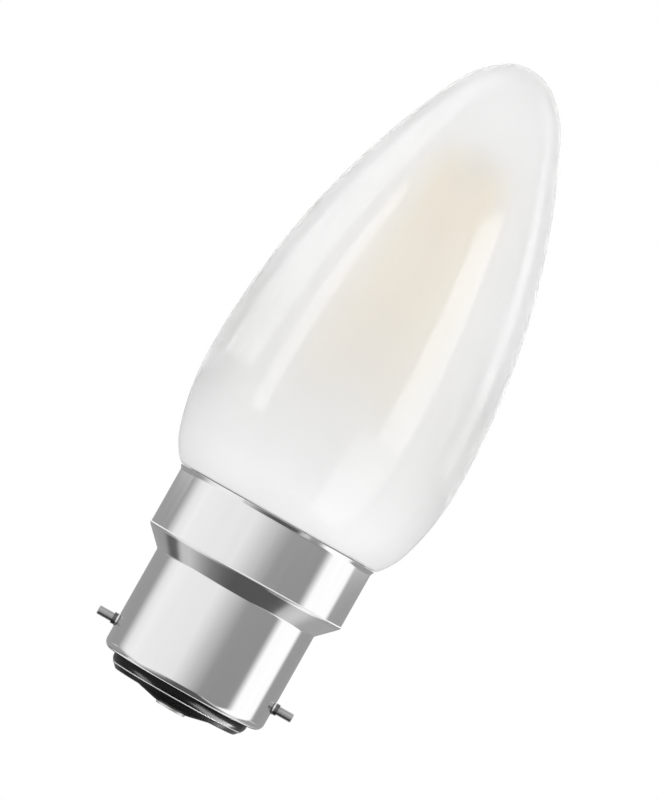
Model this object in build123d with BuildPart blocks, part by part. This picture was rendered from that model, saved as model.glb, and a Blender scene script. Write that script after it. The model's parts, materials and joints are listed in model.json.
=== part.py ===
from build123d import *

import os
from math import acos, atan2, cos, degrees, hypot, radians, sin, sqrt

os.makedirs("parts", exist_ok=True)

# Frosted candle lamp with a two-pin bayonet cap, in millimetres.
# Z runs up the lamp's axis, from the face of the end contacts to the tip of the glass.
# X runs along the bayonet pins, and the two end contacts lie side by side along Y.

# Glass envelope
lamp_length = 89.72
glass_diameter = 35.0
glass_wall = 0.8
tip_radius = 6.2
crown_radius = 13.6
crown_ease = 0.64  # how far the tip's circle stands in from the flank's circle
belly_rise = 13.99  # from the cap's rim up to the widest ring
shoulder_radius = 9.4
shoulder_lean = 13.64  # lean of the glass at the cap's rim, past that of one plain arc up to the belly
glass_overhang = 0.34  # the glass past the skirt, just above the rim
lip_bend = 0.1
neck_round = 1.0

# Cap shell, drawn from sheet
barrel_diameter = 22.0
skirt_diameter = 26.6
shell_wall = 0.35
barrel_height = 13.5
cone_height = 2.28
skirt_height = 8.18
end_bend = 0.75
cone_bend = 0.3
skirt_bend = 0.05
bead_radius = 0.2  # of the fine bead round the foot of the skirt
bead_reach = 0.07
flare_reach = 0.28  # how far the rim turns out to meet the glass
flare_height = 0.55
flare_bend = 0.4
rim_round = 0.04
rim_gap = 0.05  # between the cap's rim and the glass
cement_gap = 1.55  # between the skirt and the neck
neck_foot_rise = 0.9  # the neck's foot above the foot of the skirt
bond_gap = 0.02
cement_margin = 0.6

# Bayonet pins
pin_span = 27.2  # from tip to tip
pin_diameter = 1.15
pin_rise = 3.48  # above the end of the shell
pin_tip_round = 0.15
pin_collar_diameter = 1.5
pin_collar_length = 0.5
pin_boss_diameter = 1.8
pin_boss_height = 0.1
pin_head_diameter = 2.4
pin_head_thickness = 0.5
pin_gap = 0.02
pin_head_gap = 0.2

# Insulator and end contacts
disc_diameter = 18.56
disc_gap = 0.1
disc_reach = 1.77  # of the disc below the shell
bevel_height = 1.05
bevel_width = 0.98
bevel_round = 1.2
foot_round = 0.3
parting_rise = 0.65  # from the disc's face up to the fine bead on its bevel
parting_bead_radius = 0.12
parting_bead_sink = 0.06
boss_height = 0.7
boss_base_radius = 5.2
boss_round = 3.0
contact_spacing = 8.8
contact_diameter = 4.0
contact_height = 0.25
contact_round = 0.1
contact_ledge = 0.2  # the boss past the contact
shank_diameter = 1.6
shank_bore = 0.7
shank_gap = 0.05
shank_reach = 0.5  # the shank above the insulator

# Wires
wire_diameter = 0.6
wire_bend = 0.5
seal_gap = 0.02

# Driver board and what it carries
board_width = 17.4
board_height = 11.5
board_thickness = 1.0
board_round = 0.6
groove_depth = 0.6
groove_gap = 0.05
hole_gap = 0.1
lead_solder_length = 2.5
contact_wire_level = 1.0  # above the insulator
contact_wire_solder = 1.1
capacitor_diameter = 5.0
capacitor_length = 8.0
capacitor_level = 5.5  # above the foot of the board
capacitor_bevel = 0.5
capacitor_pitch = 2.0
component_gap = 0.8  # between the capacitor and the resistor
component_lead = 0.5
component_lead_stub = 0.5
resistor_diameter = 2.2
resistor_length = 6.0
resistor_bevel = 0.4
resistor_lead_reach = 0.9
resistor_level = 6.3
chip_level = 7.2
chip_gap = 0.5  # between the two chips
chip_lead_gap = 0.4  # from a chip to the nearest lead
rectifier_width = 4.7
rectifier_height = 3.9
rectifier_thickness = 2.4
rectifier_leg_rows = 2
rectifier_leg_pitch = 2.5
driver_chip_width = 4.9
driver_chip_height = 3.9
driver_chip_thickness = 1.6
driver_chip_leg_rows = 4
driver_chip_leg_pitch = 1.27
chip_round = 0.2
leg_width = 0.45
leg_thickness = 0.25
leg_reach = 1.0

# Stem, pressed from a flared tube
stem_height = 17.0  # from the neck's foot to the top of the press
stem_wall = 1.0
tube_diameter = 9.2
flare_radius = 5.0
press_width = 9.0
press_thickness = 3.4
press_height = 4.0
press_fall = 3.0  # from the press down to the round tube
exhaust_diameter = 3.8
exhaust_wall = 0.8
exhaust_gap = 1.3  # above the driver board
lead_spacing = 5.6

# Filaments
cage_rise = 3.4  # from the press up to the lower cross wires
cage_headroom = 12.8  # from the bridge up to the tip of the glass
cage_foot_radius = 6.5
cage_top_radius = 3.8
filament_diameter = 1.8
filament_bevel = 0.5
strip_width = 0.9
strip_thickness = 0.3
strip_bare = 1.2
weld_gap = 0.06
wire_overrun = 0.4
lead_rise = 1.0
lead_bend = 1.0
post_diameter = 0.8
post_depth = 3.0
hub_diameter = 1.8
hub_height = 1.6

# Heights and radii that follow from the sizes above
glass_radius = glass_diameter / 2
barrel_radius = barrel_diameter / 2
skirt_radius = skirt_diameter / 2
disc_radius = disc_diameter / 2
foot_radius = disc_radius - bevel_width
tube_radius = tube_diameter / 2
wire_radius = wire_diameter / 2
contact_place = contact_spacing / 2
contact_radius = contact_diameter / 2
shank_radius = shank_diameter / 2
pin_radius = pin_diameter / 2
pin_collar_radius = pin_collar_diameter / 2
pin_head_radius = pin_head_diameter / 2

boss_foot = contact_height + boss_height
cap_end = boss_foot + disc_reach
cone_foot = cap_end + barrel_height
skirt_foot = cone_foot + cone_height
cap_rim = skirt_foot + skirt_height
bore_radius = barrel_radius - shell_wall
pin_level = cap_end + pin_rise
insulator_top = pin_level - pin_head_radius - pin_head_gap

seat_level = cap_rim + rim_gap
neck_radius = skirt_radius - shell_wall - cement_gap
neck_foot = skirt_foot + neck_foot_rise
board_foot = insulator_top - groove_depth
board_top = board_foot + board_height
board_face = board_thickness / 2
press_top = neck_foot + stem_height
press_foot = press_top - press_height
tube_top = press_foot - press_fall
cage_foot = press_top + cage_rise
cage_top = lamp_length - cage_headroom
lead_x = lead_spacing / 2
lead_y = -(board_face + wire_radius)

# Glass outline: the shoulder's circle passes through the lip just above the cap's rim
lip_radius = skirt_radius + glass_overhang
belly_level = cap_rim + belly_rise
plain_lean = 2 * degrees(atan2(glass_radius - lip_radius, belly_level - seat_level))
seat_angle = plain_lean + shoulder_lean
lean = radians(seat_angle)
shoulder_room = 0.7 * (glass_radius - lip_radius) / (1 - cos(lean))
shoulder_arc = min(shoulder_radius, shoulder_room)
shoulder_x = lip_radius - shoulder_arc * cos(lean)
shoulder_z = seat_level + shoulder_arc * sin(lean)

# The belly's circle touches the shoulder's circle and stands upright at the widest ring
belly_across = glass_radius - shoulder_x
belly_up = belly_level - shoulder_z
belly_radius = (belly_across**2 + belly_up**2 - shoulder_arc**2) / (2 * (belly_across - shoulder_arc))
belly_angle = degrees(atan2(belly_up, shoulder_x - glass_radius + belly_radius))

# The flank's circle passes the tip's circle at the crown's ease, and the crown's circle joins the two
tip_up = lamp_length - tip_radius - belly_level
tip_reach = tip_radius + crown_ease
flank_radius = (glass_radius**2 + tip_up**2 - tip_reach**2) / (2 * (glass_radius - tip_reach))
flank_to_tip = hypot(flank_radius - glass_radius, tip_up)
tip_bearing = degrees(atan2(tip_up, flank_radius - glass_radius))
flank_to_crown = flank_radius - crown_radius
crown_to_tip = crown_radius - tip_radius
flank_side = flank_to_tip**2 + flank_to_crown**2 - crown_to_tip**2
crown_side = flank_to_tip**2 + crown_to_tip**2 - flank_to_crown**2
flank_angle = tip_bearing - degrees(acos(flank_side / (2 * flank_to_tip * flank_to_crown)))
crown_angle = tip_bearing + degrees(acos(crown_side / (2 * flank_to_tip * crown_to_tip)))


def save(piece, name):
    piece.part.label = name
    export_step(piece.part, f"parts/{name}.step")


# Glass envelope: one blown wall, from the tip to the neck's foot
with BuildPart() as glass_envelope:
    with BuildSketch(Plane.XZ):
        with BuildLine() as glass_line:
            tip = JernArc((0, lamp_length), (1, 0), tip_radius, crown_angle - 90)
            crown = JernArc(tip @ 1, tip % 1, crown_radius, flank_angle - crown_angle)
            flank = JernArc(crown @ 1, crown % 1, flank_radius, -flank_angle)
            belly = JernArc(flank @ 1, flank % 1, belly_radius, -belly_angle)
            shoulder = JernArc(belly @ 1, belly % 1, shoulder_arc, belly_angle - seat_angle)
            seat = Line(shoulder @ 1, (neck_radius, seat_level))
            neck = Line(seat @ 1, (neck_radius, neck_foot))
            fillet(glass_line.vertices().sort_by_distance(seat @ 0)[0], glass_wall + lip_bend)
            fillet(glass_line.vertices().sort_by_distance(seat @ 1)[0], neck_round)
            offset(amount=glass_wall, side=Side.RIGHT)
        make_face()
    revolve(axis=Axis.Z)
save(glass_envelope, "glass_envelope")

# Cap shell: flared rim, skirt, cone, barrel and turned-in end, with a low boss at each pin
flare_past = 2 * shell_wall  # drawn past the rim, which is then cut level
flare_end = skirt_radius + flare_reach * (flare_height + flare_past) / flare_height
with BuildPart() as cap_shell:
    with BuildSketch(Plane.XZ) as shell_section:
        with BuildLine():
            FilletPolyline(
                (disc_radius + disc_gap, cap_end),
                (barrel_radius, cap_end),
                (barrel_radius, cone_foot),
                (skirt_radius, skirt_foot),
                (skirt_radius, cap_rim - flare_height),
                (flare_end, cap_rim + flare_past),
                radius=[end_bend + shell_wall, cone_bend, skirt_bend + shell_wall, flare_bend],
            )
            offset(amount=shell_wall, side=Side.LEFT)
        make_face()
        with Locations((skirt_radius + bead_reach - bead_radius, skirt_foot + bead_radius)):
            Circle(bead_radius)
        with Locations((skirt_radius, cap_rim)):
            Rectangle(skirt_radius, 2 * flare_past, align=(Align.CENTER, Align.MIN), mode=Mode.SUBTRACT)
        rim_corners = shell_section.vertices().group_by(Axis.Y)[-1]
        fillet(rim_corners.sort_by(Axis.X)[-1], rim_round)
    revolve(axis=Axis.Z)
    for side in (-1, 1):
        with BuildSketch(Plane.YZ.offset(side * (barrel_radius - shell_wall / 2))):
            with Locations((0, pin_level)):
                Circle(pin_boss_diameter / 2)
        extrude(amount=side * (pin_boss_height + shell_wall / 2))
    with BuildSketch(Plane.YZ):
        with Locations((0, pin_level)):
            Circle(pin_collar_radius + pin_gap)
    extrude(amount=skirt_radius, both=True, mode=Mode.SUBTRACT)
save(cap_shell, "cap_shell")

# Bayonet pins: a head inside the shell, a collar that stands out of the boss, and a thinner free end
pin_seat = sqrt(bore_radius**2 - pin_head_radius**2) - pin_gap
pin_collar_end = barrel_radius + pin_boss_height + pin_collar_length
pin_steps = (
    (pin_head_radius, pin_seat - pin_head_thickness, pin_seat),
    (pin_collar_radius, pin_seat, pin_collar_end),
    (pin_radius, pin_collar_end, pin_span / 2),
)
for side, pin_name in ((-1, "bayonet_pin_left"), (1, "bayonet_pin_right")):
    with BuildPart() as bayonet_pin:
        for step_radius, step_foot, step_end in pin_steps:
            with BuildSketch(Plane.YZ.offset(side * step_foot)):
                with Locations((0, pin_level)):
                    Circle(step_radius)
            extrude(amount=side * (step_end - step_foot))
        fillet(bayonet_pin.edges().group_by(Axis.X)[max(side, 0) * -1], pin_tip_round)
    save(bayonet_pin, pin_name)

# Insulator: a bevelled disc held behind the shell's turned-in end, with a low boss at each contact
bevel_slope = bevel_width / bevel_height
parting_radius = foot_radius + bevel_slope * parting_rise
with BuildPart() as cap_insulator:
    for place in (-contact_place, contact_place):
        with BuildSketch(Plane.XZ.offset(-place)) as boss_section:
            with BuildLine():
                Polyline(
                    (0, contact_height),
                    (contact_radius + contact_ledge, contact_height),
                    (boss_base_radius, boss_foot),
                    (0, boss_foot),
                    close=True,
                )
            make_face()
            boss_edge = (contact_radius + contact_ledge, contact_height)
            fillet(boss_section.vertices().sort_by_distance(boss_edge)[0], boss_round)
        revolve(axis=Axis((0, place, 0), (0, 0, 1)))
    with BuildSketch(Plane.XZ):
        with BuildLine():
            Polyline(
                (0, contact_height),
                (foot_radius - bevel_slope * boss_height, contact_height),
                (foot_radius, boss_foot),
                (0, boss_foot),
                close=True,
            )
        make_face()
    revolve(axis=Axis.Z, mode=Mode.INTERSECT)
    with BuildSketch(Plane.XZ) as disc_section:
        with BuildLine():
            Polyline(
                (0, boss_foot),
                (foot_radius, boss_foot),
                (disc_radius, boss_foot + bevel_height),
                (disc_radius, cap_end + shell_wall),
                (bore_radius - disc_gap, cap_end + shell_wall),
                (bore_radius - disc_gap, insulator_top),
                (0, insulator_top),
                close=True,
            )
        make_face()
        foot_corner = disc_section.vertices().sort_by_distance((foot_radius, boss_foot))[0]
        fillet(foot_corner, foot_round)
        bevel_corner = disc_section.vertices().sort_by_distance((disc_radius, boss_foot + bevel_height))[0]
        fillet(bevel_corner, bevel_round)
        seat_corner = disc_section.vertices().sort_by_distance((bore_radius, cap_end + shell_wall))[0]
        chamfer(seat_corner, end_bend)
        with Locations((parting_radius - parting_bead_sink, boss_foot + parting_rise)):
            Circle(parting_bead_radius)
    revolve(axis=Axis.Z)
    with BuildSketch(Plane.XY.offset(contact_height)):
        with Locations((0, -contact_place), (0, contact_place)):
            Circle(shank_radius + shank_gap)
    extrude(amount=insulator_top - contact_height, mode=Mode.SUBTRACT)
    with BuildSketch(Plane.XY.offset(board_foot)):
        Rectangle(board_width + 2 * groove_gap, board_thickness + 2 * groove_gap)
    extrude(amount=groove_depth, mode=Mode.SUBTRACT)
save(cap_insulator, "cap_insulator")

# End contacts: a rounded pad on a hollow shank that goes through the insulator
for place, contact_name in ((-contact_place, "contact_front"), (contact_place, "contact_back")):
    with BuildPart() as end_contact:
        with BuildSketch(Plane.XY):
            with Locations((0, place)):
                Circle(contact_radius)
        extrude(amount=contact_height)
        fillet(end_contact.edges().group_by(Axis.Z)[0], contact_round)
        with BuildSketch(Plane.XY.offset(contact_height)):
            with Locations((0, place)):
                Circle(shank_radius)
                Circle(shank_bore / 2, mode=Mode.SUBTRACT)
        extrude(amount=insulator_top + shank_reach - contact_height)
    save(end_contact, contact_name)

# Basing cement: the ring that fills the skirt round the neck
cement_foot = neck_foot + cement_margin
cement_top = seat_level - neck_round - cement_margin
with BuildPart() as basing_cement:
    with BuildSketch(Plane.XY.offset(cement_foot)):
        Circle(skirt_radius - shell_wall - bond_gap)
        Circle(neck_radius + bond_gap, mode=Mode.SUBTRACT)
    extrude(amount=cement_top - cement_foot)
save(basing_cement, "basing_cement")

# Driver board: stands on edge in the insulator's groove, drilled for its leaded components
lead_clear = chip_gap / 2 + chip_lead_gap + component_lead / 2
capacitor_z = board_foot + capacitor_level
capacitor_y = -(board_face + capacitor_diameter / 2)
capacitor_end = -capacitor_length / 2
capacitor_lead_x = min(capacitor_end - 2 * wire_bend, -(rectifier_width + lead_clear))
resistor_z = board_foot + resistor_level
resistor_y = -(board_face + resistor_diameter / 2)
resistor_x = max(component_gap + (capacitor_length + resistor_diameter) / 2, driver_chip_width + lead_clear)
resistor_lead_rise = resistor_length / 2 + resistor_lead_reach
lead_holes = [(capacitor_lead_x, capacitor_z + step * capacitor_pitch / 2) for step in (-1, 1)]
lead_holes += [(resistor_x, resistor_z + step * resistor_lead_rise) for step in (-1, 1)]
with BuildPart() as driver_board:
    with BuildSketch(Plane.XZ.offset(-board_face)):
        with Locations((0, board_foot + board_height / 2)):
            RectangleRounded(board_width, board_height, board_round)
        with Locations(*lead_holes):
            Circle(component_lead / 2 + hole_gap, mode=Mode.SUBTRACT)
    extrude(amount=board_thickness)
save(driver_board, "driver_board")

# Smoothing capacitor: lies across the board's front, with two bent leads through it
with BuildPart() as smoothing_capacitor:
    with BuildSketch(Plane.YZ.offset(capacitor_end)):
        with Locations((capacitor_y, capacitor_z)):
            Circle(capacitor_diameter / 2)
    extrude(amount=capacitor_length)
    chamfer(smoothing_capacitor.edges().filter_by(GeomType.CIRCLE), capacitor_bevel)
    for step in (-1, 1):
        lead_z = capacitor_z + step * capacitor_pitch / 2
        with BuildLine():
            lead_path = FilletPolyline(
                (capacitor_end, capacitor_y, lead_z),
                (capacitor_lead_x, capacitor_y, lead_z),
                (capacitor_lead_x, board_face + component_lead_stub, lead_z),
                radius=wire_bend,
            )
        with BuildSketch(Plane(origin=lead_path @ 0, z_dir=lead_path % 0)):
            Circle(component_lead / 2)
        sweep(path=lead_path)
save(smoothing_capacitor, "smoothing_capacitor")

# Fuse resistor: stands along the board's front, with a bent lead at each end
with BuildPart() as fuse_resistor:
    with BuildSketch(Plane.XY.offset(resistor_z - resistor_length / 2)):
        with Locations((resistor_x, resistor_y)):
            Circle(resistor_diameter / 2)
    extrude(amount=resistor_length)
    chamfer(fuse_resistor.edges().filter_by(GeomType.CIRCLE), resistor_bevel)
    for step in (-1, 1):
        lead_z = resistor_z + step * resistor_lead_rise
        with BuildLine():
            lead_path = FilletPolyline(
                (resistor_x, resistor_y, resistor_z + step * resistor_length / 2),
                (resistor_x, resistor_y, lead_z),
                (resistor_x, board_face + component_lead_stub, lead_z),
                radius=wire_bend,
            )
        with BuildSketch(Plane(origin=lead_path @ 0, z_dir=lead_path % 0)):
            Circle(component_lead / 2)
        sweep(path=lead_path)
save(fuse_resistor, "fuse_resistor")

# Bridge rectifier and driver chip: flat moulded bodies on legs, side by side on the board's back
chips = (
    ("bridge_rectifier", -1, rectifier_width, rectifier_height, rectifier_thickness,
     rectifier_leg_rows, rectifier_leg_pitch),
    ("driver_chip", 1, driver_chip_width, driver_chip_height, driver_chip_thickness,
     driver_chip_leg_rows, driver_chip_leg_pitch),
)
for chip_name, side, width, height, thickness, leg_rows, leg_pitch in chips:
    chip_x = side * (chip_gap + width) / 2
    chip_z = board_foot + chip_level
    with BuildPart() as chip:
        with BuildSketch(Plane.XZ.offset(-board_face - leg_thickness / 2)):
            with Locations((chip_x, chip_z)):
                RectangleRounded(width, height, chip_round)
        extrude(amount=-(thickness - leg_thickness / 2))
        chamfer(chip.faces().sort_by(Axis.Y)[-1].edges(), chip_round)
        with BuildSketch(Plane.XZ.offset(-board_face)):
            with Locations((chip_x, chip_z)):
                with GridLocations(leg_pitch, 1, leg_rows, 1):
                    Rectangle(leg_width, height + 2 * leg_reach)
        extrude(amount=-leg_thickness)
    save(chip, chip_name)

# Contact wires: from the hollow shanks to the foot of the board, one on each side
wire_level = insulator_top + contact_wire_level
for side, wire_name in ((-1, "contact_wire_front"), (1, "contact_wire_back")):
    with BuildPart() as contact_wire:
        with BuildLine():
            wire_path = FilletPolyline(
                (0, side * contact_place, insulator_top - shank_reach),
                (0, side * contact_place, wire_level),
                (0, side * (board_face + wire_radius), wire_level),
                (0, side * (board_face + wire_radius), wire_level + contact_wire_solder),
                radius=wire_bend,
            )
        with BuildSketch(Plane(origin=wire_path @ 0, z_dir=wire_path % 0)):
            Circle(wire_radius)
        sweep(path=wire_path)
    save(contact_wire, wire_name)

# Glass stem: flare and tube, closed by the press that seals the wires, with the exhaust tube inside
with BuildPart() as glass_stem:
    with BuildSketch(Plane.XZ):
        with BuildLine():
            FilletPolyline(
                (neck_radius, neck_foot),
                (tube_radius, neck_foot),
                (tube_radius, tube_top),
                radius=min(flare_radius, 0.9 * (neck_radius - tube_radius)),
            )
            offset(amount=stem_wall, side=Side.LEFT)
        make_face()
    revolve(axis=Axis.Z)
    with BuildSketch(Plane.XY.offset(tube_top)):
        Circle(tube_radius)
    with BuildSketch(Plane.XY.offset(press_foot)):
        Ellipse(press_width / 2, press_thickness / 2)
    loft()
    with BuildSketch(Plane.XY.offset(press_foot)):
        Ellipse(press_width / 2, press_thickness / 2)
    extrude(amount=press_height)
    with BuildSketch(Plane.XZ):
        with BuildLine():
            exhaust_end = JernArc((0, board_top + exhaust_gap), (1, 0), exhaust_diameter / 2, 90)
            Line(exhaust_end @ 1, (exhaust_diameter / 2, tube_top))
            offset(amount=exhaust_wall, side=Side.LEFT)
        make_face()
    revolve(axis=Axis.Z)
    with BuildSketch(Plane.XY.offset(tube_top)):
        with Locations((-lead_x, lead_y), (lead_x, lead_y)):
            Circle(wire_radius + seal_gap)
    extrude(amount=press_top - tube_top, mode=Mode.SUBTRACT)
    with BuildSketch(Plane.XY.offset(press_top)):
        Circle(post_diameter / 2 + seal_gap)
    extrude(amount=-post_depth, mode=Mode.SUBTRACT)
save(glass_stem, "glass_stem")

# Lead wires: from the board up through the press, each ending in a cross wire for two filaments
corner_share = cos(radians(45))
foot_x = cage_foot_radius * corner_share
top_x = cage_top_radius * corner_share
for side, wire_name in ((-1, "lead_wire_left"), (1, "lead_wire_right")):
    with BuildPart() as lead_wire:
        with BuildLine():
            lead_path = FilletPolyline(
                (side * lead_x, lead_y, board_top - lead_solder_length),
                (side * lead_x, lead_y, press_top + lead_rise),
                (side * foot_x, 0, cage_foot),
                radius=lead_bend,
            )
        with BuildSketch(Plane(origin=lead_path @ 0, z_dir=lead_path % 0)):
            Circle(wire_radius)
        sweep(path=lead_path)
        with BuildSketch(Plane.XZ):
            with Locations((side * foot_x, cage_foot)):
                Circle(wire_radius)
        extrude(amount=foot_x + wire_overrun, both=True)
    save(lead_wire, wire_name)

# Support post: stands in the press and carries the bridge
with BuildPart() as support_post:
    with BuildSketch(Plane.XY.offset(press_top - post_depth)):
        Circle(post_diameter / 2)
    extrude(amount=cage_top + hub_height / 2 - press_top + post_depth)
save(support_post, "support_post")

# Filament bridge: a hub on the post with four arms, one over each filament
with BuildPart() as filament_bridge:
    for turn in (45, 135):
        with BuildSketch(Plane.YZ.rotated((0, 0, turn))):
            with Locations((0, cage_top)):
                Circle(wire_radius)
        extrude(amount=cage_top_radius + wire_overrun, both=True)
    with BuildSketch(Plane.XY.offset(cage_top - hub_height / 2)):
        Circle(hub_diameter / 2)
    extrude(amount=hub_height)
    with BuildSketch(Plane.XY.offset(cage_top - hub_height / 2)):
        Circle(post_diameter / 2 + seal_gap)
    extrude(amount=hub_height, mode=Mode.SUBTRACT)
save(filament_bridge, "filament_bridge")

# Filaments: a coated strip from a cross wire up to an arm of the bridge
for x_side, x_word in ((-1, "left"), (1, "right")):
    for y_side, y_word in ((-1, "front"), (1, "back")):
        foot = Vector(x_side * foot_x, y_side * foot_x, cage_foot)
        top = Vector(x_side * top_x, y_side * top_x, cage_top)
        strip_length = (top - foot).length - 2 * (wire_radius + weld_gap)
        foot_plane = Plane(origin=foot, x_dir=(x_side, -y_side, 0), z_dir=top - foot)
        strip_plane = foot_plane.offset(wire_radius + weld_gap)
        with BuildPart() as filament:
            with BuildSketch(strip_plane.offset(strip_bare)):
                Circle(filament_diameter / 2)
            extrude(amount=strip_length - 2 * strip_bare)
            chamfer(filament.edges().filter_by(GeomType.CIRCLE), filament_bevel)
            with BuildSketch(strip_plane):
                Rectangle(strip_width, strip_thickness)
            extrude(amount=strip_length)
        save(filament, f"filament_{y_word}_{x_word}")
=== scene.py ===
import json
from math import cos, pi, radians, sin, tan

import bmesh
import bpy
from mathutils import Matrix, Vector

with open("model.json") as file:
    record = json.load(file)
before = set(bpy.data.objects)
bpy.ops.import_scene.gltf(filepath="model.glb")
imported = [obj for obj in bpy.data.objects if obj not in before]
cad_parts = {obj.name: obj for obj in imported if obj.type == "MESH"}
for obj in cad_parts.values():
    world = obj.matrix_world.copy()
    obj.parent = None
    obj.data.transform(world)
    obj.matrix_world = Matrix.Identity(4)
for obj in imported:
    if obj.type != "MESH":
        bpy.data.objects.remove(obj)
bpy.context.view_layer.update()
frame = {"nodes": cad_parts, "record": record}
nodes = frame["nodes"]
scene = bpy.context.scene
upright = Vector((0, 0, 1))
print("frame loaded:", len(nodes), "nodes")


# small helpers for shader nodes
def newMaterial(name):
    material = bpy.data.materials.new(name)
    material.use_nodes = True
    tree = material.node_tree
    return material, tree, tree.nodes["Principled BSDF"]


def addNode(tree, kind, **values):
    node = tree.nodes.new(kind)
    for key, value in values.items():
        if key in node.inputs:
            node.inputs[key].default_value = value
        else:
            setattr(node, key, value)
    return node


def objectAxes(tree):
    place = addNode(tree, "ShaderNodeTexCoord")
    split = addNode(tree, "ShaderNodeSeparateXYZ")
    tree.links.new(place.outputs["Object"], split.inputs["Vector"])
    return split.outputs


def mapSpan(tree, value, fromSpan=(0, 1), toSpan=(0, 1), **values):
    span = addNode(tree, "ShaderNodeMapRange", **values)
    for socket, number in zip(("From Min", "From Max", "To Min", "To Max"), (*fromSpan, *toSpan)):
        span.inputs[socket].default_value = number
    tree.links.new(value, span.inputs["Value"])
    return span.outputs["Result"]


def objectNoise(tree, scale, detail=3.0, stretch=(1, 1, 1)):
    place = addNode(tree, "ShaderNodeTexCoord")
    mapping = addNode(tree, "ShaderNodeMapping", Scale=stretch)
    noise = addNode(tree, "ShaderNodeTexNoise", Scale=scale, Detail=detail)
    tree.links.new(place.outputs["Object"], mapping.inputs["Vector"])
    tree.links.new(mapping.outputs["Vector"], noise.inputs["Vector"])
    return noise.outputs["Fac"]


def noiseColour(tree, shader, noise, dark, light, low=0.3, high=0.7):
    ramp = addNode(tree, "ShaderNodeValToRGB")
    for stop, where, colour in zip(ramp.color_ramp.elements, (low, high), (dark, light)):
        stop.position = where
        stop.color = (*colour, 1)
    tree.links.new(noise, ramp.inputs["Fac"])
    tree.links.new(ramp.outputs["Color"], shader.inputs["Base Color"])


def noiseRoughness(tree, shader, noise, low, high):
    tree.links.new(mapSpan(tree, noise, toSpan=(low, high)), shader.inputs["Roughness"])


def noiseBump(tree, shader, noise, strength, distance):
    bump = addNode(tree, "ShaderNodeBump", Strength=strength, Distance=distance)
    tree.links.new(noise, bump.inputs["Height"])
    tree.links.new(bump.outputs["Normal"], shader.inputs["Normal"])


def tintWhere(tree, shader, factor, colour):
    plain = shader.inputs["Base Color"].links[0].from_socket
    mix = addNode(tree, "ShaderNodeMix", data_type="RGBA")
    mix.inputs[7].default_value = colour  # its colour B, with the plain one as A at 6
    tree.links.new(factor, mix.inputs[0])
    tree.links.new(plain, mix.inputs[6])
    tree.links.new(mix.outputs[2], shader.inputs["Base Color"])


def dress(material, *names):
    for name in names:
        for slot in nodes[name].material_slots:
            slot.material = material


# glass: smooth outside over a fine etched inside
frosted = {
    "dark": (0.975, 0.975, 0.975),
    "light": (0.99, 0.99, 0.99),
    "roughness": (0.72, 0.78),
    "bend": 1.25,  # low, so that the thin wall stays bright at its edges
    "denseTo": 0.020,  # the frost is densest at the cap and thins out above this level
    "clearFrom": 0.056,
    "transmission": (0.05, 1.0),
    "coat": 0.5,
    "coatRoughness": 0.045,
    "mottle": 260.0,
}


def frostedGlass():
    material, tree, shader = newMaterial("frosted_glass_satin")
    noise = objectNoise(tree, frosted["mottle"], detail=4)
    noiseColour(tree, shader, noise, frosted["dark"], frosted["light"])
    noiseRoughness(tree, shader, noise, *frosted["roughness"])
    thinning = (frosted["denseTo"], frosted["clearFrom"])
    clearness = mapSpan(tree, objectAxes(tree)["Z"], thinning, frosted["transmission"],
                        interpolation_type="SMOOTHSTEP")
    tree.links.new(clearness, shader.inputs["Transmission Weight"])
    shader.inputs["IOR"].default_value = frosted["bend"]
    shader.inputs["Coat Weight"].default_value = frosted["coat"]
    shader.inputs["Coat Roughness"].default_value = frosted["coatRoughness"]
    return material


dress(frostedGlass(), "glass_envelope")

# cap: satin nickel plate on a drawn shell
nickel = {
    "dark": (0.765, 0.765, 0.765),
    "light": (0.785, 0.785, 0.785),
    "roughness": (0.10, 0.13),
    "grain": 900.0,
    "grainStretch": (1, 1, 0.08),  # drawn out along the axis
}


def nickelPlate():
    material, tree, shader = newMaterial("nickel_satin")
    noise = objectNoise(tree, nickel["grain"], stretch=nickel["grainStretch"])
    noiseColour(tree, shader, noise, nickel["dark"], nickel["light"])
    noiseRoughness(tree, shader, noise, *nickel["roughness"])
    shader.inputs["Metallic"].default_value = 1.0
    return material


dress(nickelPlate(), "cap_shell")

pinSteel = {
    "dark": (0.36, 0.36, 0.36),
    "light": (0.40, 0.40, 0.40),
    "roughness": (0.20, 0.24),
    "grain": 900.0,
    "grainStretch": (1, 0.1, 0.1),
    "paintedShadeReach": 0.0116,  # painted shade from here inwards, where the pin meets the shell
    "paintedShadeColour": (0.13, 0.13, 0.13, 1),
}


def turnedSteel():
    material, tree, shader = newMaterial("pin_steel_turned")
    noise = objectNoise(tree, pinSteel["grain"], stretch=pinSteel["grainStretch"])
    noiseColour(tree, shader, noise, pinSteel["dark"], pinSteel["light"])
    noiseRoughness(tree, shader, noise, *pinSteel["roughness"])
    shader.inputs["Metallic"].default_value = 1.0
    # painted shade: the pin turns darker close to the shell, standing in for the shade where the two parts
    # meet
    reach = addNode(tree, "ShaderNodeMath", operation="ABSOLUTE")
    inPaintedShade = addNode(tree, "ShaderNodeMath", operation="LESS_THAN")
    inPaintedShade.inputs[1].default_value = pinSteel["paintedShadeReach"]
    tree.links.new(objectAxes(tree)["X"], reach.inputs[0])
    tree.links.new(reach.outputs["Value"], inPaintedShade.inputs[0])
    tintWhere(tree, shader, inPaintedShade.outputs["Value"], pinSteel["paintedShadeColour"])
    return material


dress(turnedSteel(), "bayonet_pin_left", "bayonet_pin_right")

insulator = {
    "dark": (0.005, 0.005, 0.005),
    "light": (0.009, 0.009, 0.009),
    "roughness": (0.2, 0.25),
    "specular": 0.1,
    "grain": 1200.0,
    "paintedHighlightLevel": 0.00160,  # of the painted highlight, a pale line along the parting bead
    "paintedHighlightWidth": 0.00011,
    "paintedHighlightColour": (0.7, 0.7, 0.7, 1),
}


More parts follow.
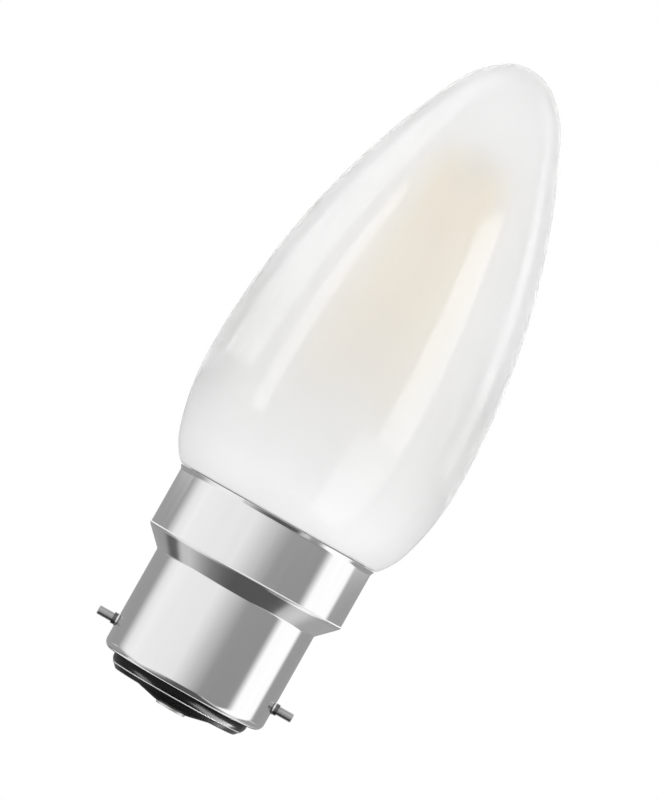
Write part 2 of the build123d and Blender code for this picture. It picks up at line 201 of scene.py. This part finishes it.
def blackMoulding():
    material, tree, shader = newMaterial("insulator_gloss_black")
    noise = objectNoise(tree, insulator["grain"])
    noiseColour(tree, shader, noise, insulator["dark"], insulator["light"])
    noiseRoughness(tree, shader, noise, *insulator["roughness"])
    shader.inputs["Specular IOR Level"].default_value = insulator["specular"]
    # painted highlight: a pale band at the parting bead's height stands in for the light the bead would catch
    onPaintedHighlight = addNode(tree, "ShaderNodeMath", operation="COMPARE")
    onPaintedHighlight.inputs[1].default_value = insulator["paintedHighlightLevel"]
    onPaintedHighlight.inputs[2].default_value = insulator["paintedHighlightWidth"] / 2
    tree.links.new(objectAxes(tree)["Z"], onPaintedHighlight.inputs[0])
    tintWhere(tree, shader, onPaintedHighlight.outputs["Value"], insulator["paintedHighlightColour"])
    return material


dress(blackMoulding(), "cap_insulator")

solder = {
    "dark": (0.66, 0.66, 0.65),
    "light": (0.82, 0.82, 0.81),
    "roughness": (0.25, 0.45),
    "grain": 1500.0,
    "bump": (0.2, 0.00005),  # strength and depth
}


def softSolder():
    material, tree, shader = newMaterial("contact_solder_pale")
    noise = objectNoise(tree, solder["grain"], detail=5)
    noiseColour(tree, shader, noise, solder["dark"], solder["light"])
    noiseRoughness(tree, shader, noise, *solder["roughness"])
    noiseBump(tree, shader, noise, *solder["bump"])
    shader.inputs["Metallic"].default_value = 1.0
    return material


dress(softSolder(), "contact_front", "contact_back")

# pieces inside the glass and the cap, by slot: (dark, light, roughness, metallic, grain)
innerFinishes = {
    "filament_coat": ((0.97, 0.79, 0.50), (0.99, 0.87, 0.60), 0.6, 0.0, 900.0),
    "wire_nickel": ((0.80, 0.77, 0.71), (0.88, 0.85, 0.80), 0.3, 1.0, 1500.0),
    "cement": ((0.74, 0.72, 0.68), (0.84, 0.82, 0.78), 0.9, 0.0, 700.0),
    "board_laminate": ((0.78, 0.79, 0.76), (0.85, 0.86, 0.83), 0.5, 0.0, 500.0),
    "capacitor_sleeve": ((0.025, 0.025, 0.03), (0.04, 0.04, 0.045), 0.35, 0.0, 600.0),
    "resistor_coat": ((0.25, 0.36, 0.31), (0.34, 0.46, 0.40), 0.55, 0.0, 800.0),
    "chip_moulding": ((0.022, 0.022, 0.022), (0.038, 0.038, 0.038), 0.6, 0.0, 1500.0),
}
innerSet = {"roughnessSpread": 0.06, "bump": (0.1, 0.00003)}


def innerFinish(slotName):
    dark, light, rough, metal, grain = innerFinishes[slotName]
    spread = innerSet["roughnessSpread"]
    material, tree, shader = newMaterial(slotName + "_worked")
    noise = objectNoise(tree, grain)
    noiseColour(tree, shader, noise, dark, light)
    noiseRoughness(tree, shader, noise, rough - spread, rough + spread)
    noiseBump(tree, shader, noise, *innerSet["bump"])
    shader.inputs["Metallic"].default_value = metal
    return material


for slotName in innerFinishes:
    finish = innerFinish(slotName)
    dress(finish, *(row["node"] for row in frame["record"]["subparts"] if row["material_slot"] == slotName))

stem = {
    "dark": (0.93, 0.95, 0.94),
    "light": (0.97, 0.98, 0.975),
    "roughness": (0.02, 0.06),
    "bend": 1.5,
    "grain": 200.0,
}


def stemGlass():
    material, tree, shader = newMaterial("stem_glass_clear")
    noise = objectNoise(tree, stem["grain"])
    noiseColour(tree, shader, noise, stem["dark"], stem["light"])
    noiseRoughness(tree, shader, noise, *stem["roughness"])
    shader.inputs["Transmission Weight"].default_value = 1.0
    shader.inputs["IOR"].default_value = stem["bend"]
    return material


dress(stemGlass(), "glass_stem")
print("materials dressed:", len(bpy.data.materials))

# camera: level with the cap's rim, rolled so that the lamp leans as in the photograph
view = {
    "place": Vector((-0.00166, -0.700, 0.02572)),
    "target": Vector((-0.00166, 0, 0.04232)),
    "lean": radians(29.5),
    "heightSeen": 0.09788,  # at the lamp
    "sensorWidth": 36.0,  # spans the image's longer side
}


def makeCamera():
    sight = view["target"] - view["place"]
    forward = sight.normalized()
    side = forward.cross(upright).normalized()
    up = side.cross(forward)
    right = cos(view["lean"]) * side + sin(view["lean"]) * up
    rolledUp = right.cross(forward)
    lensData = bpy.data.cameras.new("lampCamera")
    lensData.sensor_width = view["sensorWidth"]
    lensData.lens = view["sensorWidth"] * sight.length / view["heightSeen"]
    camera = bpy.data.objects.new("lampCamera", lensData)
    turn = Matrix((right, rolledUp, -forward)).transposed()
    camera.matrix_world = Matrix.Translation(view["place"]) @ turn.to_4x4()
    scene.collection.objects.link(camera)
    scene.camera = camera


makeCamera()
print("camera set")

# floor below the held lamp, far enough down to keep its shadow out of the picture
floorSet = {
    "level": -0.06,
    "radius": 0.45,
    "sides": 96,
    "colour": (0.88, 0.88, 0.88, 1),
    "roughness": 0.9,
    "fadeFrom": 0.2,  # from here out it fades to white
}


def makeFloor():
    mesh = bpy.data.meshes.new("paleFloor")
    build = bmesh.new()
    bmesh.ops.create_circle(build, cap_ends=True, segments=floorSet["sides"], radius=floorSet["radius"])
    bmesh.ops.translate(build, verts=build.verts, vec=(0, 0, floorSet["level"]))
    build.to_mesh(mesh)
    build.free()
    floor = bpy.data.objects.new("paleFloor", mesh)
    material, tree, shader = newMaterial("paleFloor")
    shader.inputs["Base Color"].default_value = floorSet["colour"]
    shader.inputs["Roughness"].default_value = floorSet["roughness"]
    place = addNode(tree, "ShaderNodeTexCoord")
    reach = addNode(tree, "ShaderNodeVectorMath", operation="LENGTH")
    white = addNode(tree, "ShaderNodeEmission", Color=(1, 1, 1, 1), Strength=1.0)
    mix = addNode(tree, "ShaderNodeMixShader")
    tree.links.new(place.outputs["Object"], reach.inputs[0])
    fade = mapSpan(tree, reach.outputs["Value"], (floorSet["fadeFrom"], floorSet["radius"]))
    tree.links.new(fade, mix.inputs["Fac"])
    tree.links.new(shader.outputs["BSDF"], mix.inputs[1])
    tree.links.new(white.outputs["Emission"], mix.inputs[2])
    tree.links.new(mix.outputs["Shader"], tree.nodes["Material Output"].inputs["Surface"])
    mesh.materials.append(material)
    scene.collection.objects.link(floor)
    floor.visible_glossy = False
    floor.visible_transmission = False
    floor.visible_shadow = False


makeFloor()

# world: white straight on and in reflections, a little less through glass, and a plain level for the rest
worldSet = {"seenLevel": 1.0, "plainLevel": 1.04, "throughLevel": 0.92}


def background(tree, level):
    return addNode(tree, "ShaderNodeBackground", Color=(1, 1, 1, 1), Strength=level).outputs["Background"]


def mixShaders(tree, factor, first, second):
    mix = addNode(tree, "ShaderNodeMixShader")
    for socket, source in enumerate((factor, first, second)):
        tree.links.new(source, mix.inputs[socket])
    return mix.outputs["Shader"]


def makeWorld():
    world = bpy.data.worlds.new("whiteStudio")
    world.use_nodes = True
    tree = world.node_tree
    tree.nodes.clear()
    rays = addNode(tree, "ShaderNodeLightPath").outputs
    seen = addNode(tree, "ShaderNodeMath", operation="MAXIMUM")
    tree.links.new(rays["Is Camera Ray"], seen.inputs[0])
    tree.links.new(rays["Is Glossy Ray"], seen.inputs[1])
    plain = background(tree, worldSet["plainLevel"])
    white = background(tree, worldSet["seenLevel"])
    through = background(tree, worldSet["throughLevel"])
    outside = mixShaders(tree, seen.outputs["Value"], plain, white)
    whole = mixShaders(tree, rays["Is Transmission Ray"], outside, through)
    out = addNode(tree, "ShaderNodeOutputWorld")
    tree.links.new(whole, out.inputs["Surface"])
    scene.world = world


makeWorld()
print("floor and world set")

# cards round, under and behind the lamp, seen in reflections only
# round it by azimuth: 0 faces the camera and runs to the right, as (degrees, brightness)
cardRing = {
    "radius": 0.6,
    "steps": 96,
    "low": -0.12,
    "high": 0.029,
    "frontTo": 0.25,  # up to here along y it hangs down further
    "frontLow": -1.25,
    "frontSlope": 1.25,
    "frontHigh": 0.05,
    "levels": [
        (-180, 0.38), (-114, 0.38), (-98, 1.0), (-84, 1.1), (-66, 1.05), (-20, 1.0),
        (22, 0.35), (65, 0.335), (75, 1.28), (110, 1.28), (116, 0.38), (180, 0.38),
    ],
}
# under it: panels as (left, right, front, back), and from left to right (metres, brightness)
underCard = {
    "level": -0.5,
    "panels": [
        (-0.36, 0.36, -0.58, 0.30), (-1.6, -0.46, 0.20, 0.30),
        (-1.6, -0.30, 0.30, 3.0), (0.30, 1.6, 0.30, 3.0),
    ],
    "levels": [
        (-0.70, 0.38), (-0.445, 0.38), (-0.43, 0.12), (-0.378, 0.12), (-0.365, 0.5), (-0.345, 0.66),
        (-0.30, 0.68), (-0.227, 0.40), (-0.171, 0.25), (-0.108, 0.16), (-0.044, 0.11), (0.193, 0.11),
        (0.241, 0.15), (0.265, 0.58), (0.32, 0.75), (0.37, 0.65), (0.41, 0.45), (0.70, 0.38),
    ],
}
# behind it: a dark one low down for the cap's black end, and two high ones that lift the edges of the glass
backCards = {
    "lowCard": {"from": (-0.12, 0.6), "to": (0.12, 0.6), "low": -0.37, "high": -0.12, "level": 0.02},
    "leftCard": {"from": (-0.491, 0.344), "to": (-0.052, 0.598), "low": 0.065, "high": 1.5, "level": 1.15},
    "rightCard": {"from": (-0.052, 0.598), "to": (0.491, 0.344), "low": 0.065, "high": 1.5, "level": 1.3},
}


def levelRamp(tree, levels, low, high):
    ramp = addNode(tree, "ShaderNodeValToRGB")
    stops = ramp.color_ramp.elements
    for index, (where, level) in enumerate(levels):
        share = (where - low) / (high - low)
        stop = stops[index] if index < 2 else stops.new(share)  # a new ramp has two
        stop.position = share
        stop.color = (level, level, level, 1)
    return ramp


def glowMaterial(name, levels, makeFactor):
    material = bpy.data.materials.new(name)
    material.use_nodes = True
    tree = material.node_tree
    tree.nodes.clear()
    low, high = levels[0][0], levels[-1][0]
    share = mapSpan(tree, makeFactor(tree, objectAxes(tree)), (low, high))
    ramp = levelRamp(tree, levels, low, high)
    glow = addNode(tree, "ShaderNodeEmission", Strength=1.0)
    out = addNode(tree, "ShaderNodeOutputMaterial")
    tree.links.new(share, ramp.inputs["Fac"])
    tree.links.new(ramp.outputs["Color"], glow.inputs["Color"])
    tree.links.new(glow.outputs["Emission"], out.inputs["Surface"])
    material.cycles.emission_sampling = "NONE"
    return material


def azimuthDegrees(tree, axes):
    front = addNode(tree, "ShaderNodeMath", operation="MULTIPLY")
    front.inputs[1].default_value = -1.0
    azimuth = addNode(tree, "ShaderNodeMath", operation="ARCTAN2")
    turn = addNode(tree, "ShaderNodeMath", operation="DEGREES")
    tree.links.new(axes["Y"], front.inputs[0])
    tree.links.new(axes["X"], azimuth.inputs[0])
    tree.links.new(front.outputs["Value"], azimuth.inputs[1])
    tree.links.new(azimuth.outputs["Value"], turn.inputs[0])
    return turn.outputs["Value"]


def acrossMetres(tree, axes):
    return axes["X"]


def reflectOnly(name, build, levels, makeFactor):
    mesh = bpy.data.meshes.new(name)
    build.to_mesh(mesh)
    build.free()
    mesh.materials.append(glowMaterial(name, levels, makeFactor))
    card = bpy.data.objects.new(name, mesh)
    for ray in ("camera", "diffuse", "transmission", "volume_scatter", "shadow"):
        setattr(card, "visible_" + ray, False)
    scene.collection.objects.link(card)


def makeCardRing():
    build = bmesh.new()
    foot = build.verts.new((0, -cardRing["radius"], cardRing["low"]))
    head = build.verts.new((0, -cardRing["radius"], cardRing["high"]))
    edge = build.edges.new((foot, head))
    bmesh.ops.spin(build, geom=[foot, head, edge], cent=(0, 0, 0), axis=upright, angle=2 * pi,
                   steps=cardRing["steps"], use_merge=True)
    for vert in build.verts:
        if vert.co.y < cardRing["frontTo"]:
            low = cardRing["frontLow"] + cardRing["frontSlope"] * vert.co.y
            vert.co.z = low if vert.co.z < 0 else cardRing["frontHigh"]
    reflectOnly("cardRing", build, cardRing["levels"], azimuthDegrees)


def makeUnderCard():
    build = bmesh.new()
    for left, right, front, back in underCard["panels"]:
        corners = ((left, front), (right, front), (right, back), (left, back))
        build.faces.new([build.verts.new((x, y, underCard["level"])) for x, y in corners])
    reflectOnly("underCard", build, underCard["levels"], acrossMetres)


def makeBackCards():
    for name, card in backCards.items():
        build = bmesh.new()
        corners = (("from", "low"), ("to", "low"), ("to", "high"), ("from", "high"))
        build.faces.new([build.verts.new((*card[side], card[edge])) for side, edge in corners])
        reflectOnly(name, build, [(-1, card["level"]), (1, card["level"])], acrossMetres)


makeCardRing()
makeUnderCard()
makeBackCards()
print("cards set")

# lights that one piece alone receives: level is their radiance
# streaks on the glass, by the degrees that each light is seen under
glassStrips = {
    "leftBroad": {"azimuth": (-125, -82), "rise": (0, 68), "level": 2.5},
    "leftNarrow": {"azimuth": (-67, -54), "rise": (-12, 33), "level": 3.7},
    "rightBroad": {"azimuth": (37, 63), "rise": (0, 37), "level": 4.5},
    "rightLow": {"azimuth": (22, 64), "rise": (-70, 0), "level": 2.7},
    "rightThin": {"azimuth": (108, 124), "rise": (0, 74), "level": 2.3},
}
glassSet = {"centre": Vector((0, 0, 0.055)), "distance": 0.5}
# a soft light on the frost, from the front and a little to the right
frostWash = {"azimuth": 22, "lift": 0.05, "size": (0.4, 0.4), "level": 0.85}
# gloss on the cap's black end, by place, width and height
basePanels = {
    "underLeft": {"place": (-0.350, -0.049, -0.354), "size": (0.16, 0.25), "level": 16.0},
    "underRight": {"place": (0.366, -0.065, -0.335), "size": (0.84, 0.25), "level": 28.0},
}
baseCentre = Vector((0, 0, 0.002))


def makePanel(name, place, facing, size, level, receivers):
    light = bpy.data.lights.new(name, "AREA")
    light.shape = "RECTANGLE"
    light.size, light.size_y = size
    light.energy = level * pi * light.size * light.size_y  # watts for that radiance
    light.cycles.max_bounces = 1
    lamp = bpy.data.objects.new(name, light)
    outward = (place - facing).normalized()
    across = upright.cross(outward).normalized()
    turn = Matrix((across, outward.cross(across), outward)).transposed()
    lamp.matrix_world = Matrix.Translation(place) @ turn.to_4x4()
    lamp.visible_camera = False
    lamp.visible_diffuse = False
    lamp.visible_transmission = False  # a streak on the outside, no light through the glass
    lamp.light_linking.receiver_collection = receivers
    lamp.light_linking.blocker_collection = receivers
    scene.collection.objects.link(lamp)
    return lamp


def receiversOf(name, nodeName):
    collection = bpy.data.collections.new(name)
    collection.objects.link(nodes[nodeName])
    return collection


def makeGlassStrips(receivers):
    reach = glassSet["distance"]
    for name, strip in glassStrips.items():
        start, stop = (radians(angle) for angle in strip["azimuth"])
        low, high = (reach * tan(radians(angle)) for angle in strip["rise"])
        middle = (start + stop) / 2
        facing = glassSet["centre"] + Vector((0, 0, (low + high) / 2))
        place = facing + reach * Vector((sin(middle), -cos(middle), 0))
        size = (2 * reach * tan((stop - start) / 2), high - low)
        makePanel(name, place, facing, size, strip["level"], receivers)


def makeFrostWash(receivers):
    reach, turn = glassSet["distance"], radians(frostWash["azimuth"])
    place = glassSet["centre"] + Vector((reach * sin(turn), -reach * cos(turn), frostWash["lift"]))
    wash = makePanel("frostWash", place, glassSet["centre"], frostWash["size"], frostWash["level"], receivers)
    wash.visible_diffuse = True
    wash.visible_glossy = False  # no streak of its own


def makeBasePanels(receivers):
    for name, panel in basePanels.items():
        makePanel(name, Vector(panel["place"]), baseCentre, panel["size"], panel["level"], receivers)


glassOnly = receiversOf("glassOnly", "glass_envelope")
makeGlassStrips(glassOnly)
makeFrostWash(glassOnly)
makeBasePanels(receiversOf("insulatorOnly", "cap_insulator"))

scene.view_settings.view_transform = "Standard"
print("lights set")
